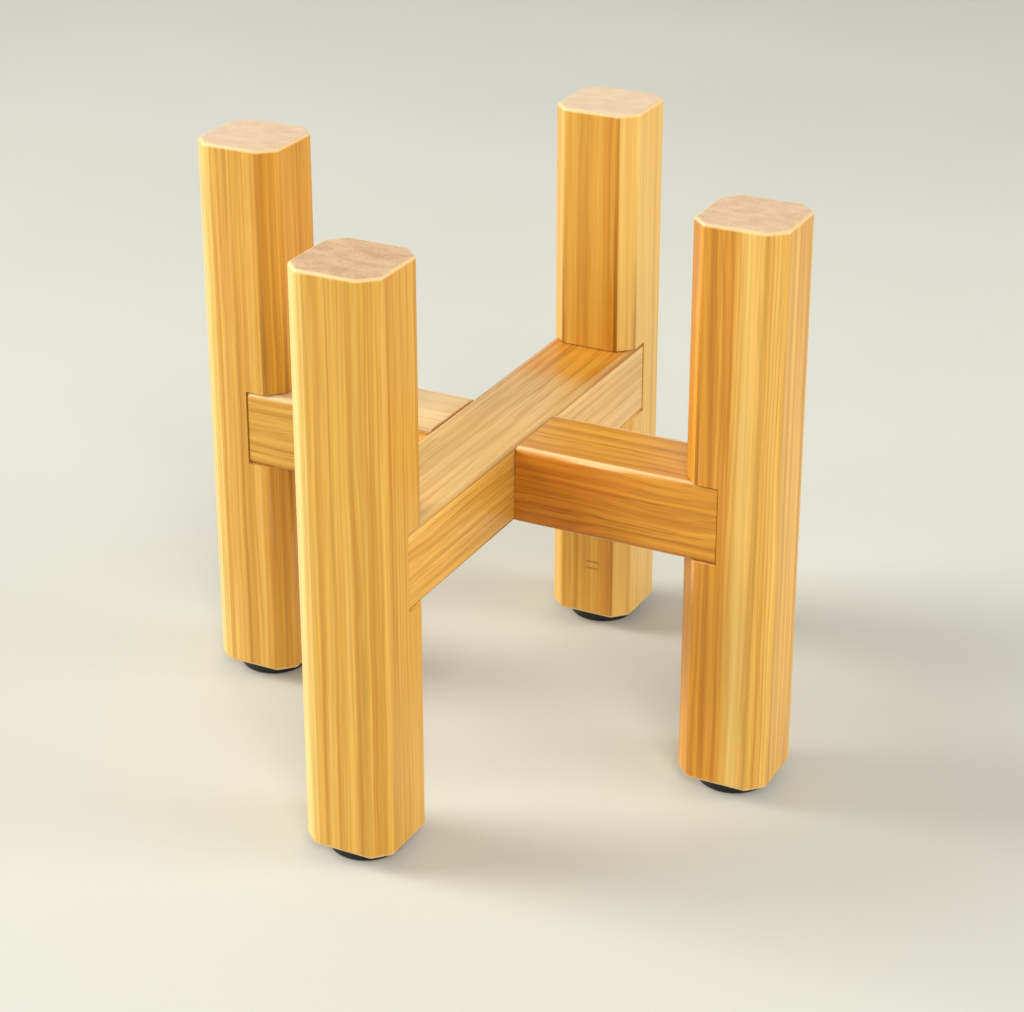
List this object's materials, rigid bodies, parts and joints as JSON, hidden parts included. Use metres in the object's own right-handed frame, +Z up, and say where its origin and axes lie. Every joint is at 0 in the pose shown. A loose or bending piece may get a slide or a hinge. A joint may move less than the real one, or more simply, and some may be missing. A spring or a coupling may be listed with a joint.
{
  "type": "plant stand",
  "caption": "Low plant stand of laminated bamboo: chamfered posts joined by crossed, half-lapped bars that carry a pot between the posts, on round rubber foot pads.",
  "frame": {"origin": "on the floor, straight below the crossing of the two bars", "axes": "+Z up; the upper bar runs along Y, front leg towards -Y; the lower bar runs along X, right leg towards +X"},
  "size_m": [0.174, 0.174, 0.164],
  "materials": {
    "leg_bamboo": "laminated golden bamboo, satin varnish",
    "bar_bamboo": "laminated golden bamboo, satin varnish",
    "dowel_wood": "bare turned hardwood",
    "pad_rubber": "matte black rubber"
  },
  "bodies": {
    "root": {"front_leg": "leg_bamboo", "right_leg": "leg_bamboo", "back_leg": "leg_bamboo", "left_leg": "leg_bamboo", "upper_cross_bar": "bar_bamboo", "lower_cross_bar": "bar_bamboo", "front_dowel_a": "dowel_wood", "front_dowel_b": "dowel_wood", "right_dowel_a": "dowel_wood", "right_dowel_b": "dowel_wood", "back_dowel_a": "dowel_wood", "back_dowel_b": "dowel_wood", "left_dowel_a": "dowel_wood", "left_dowel_b": "dowel_wood", "front_foot_pad": "pad_rubber", "right_foot_pad": "pad_rubber", "back_foot_pad": "pad_rubber", "left_foot_pad": "pad_rubber"}
  },
  "joints": []
}
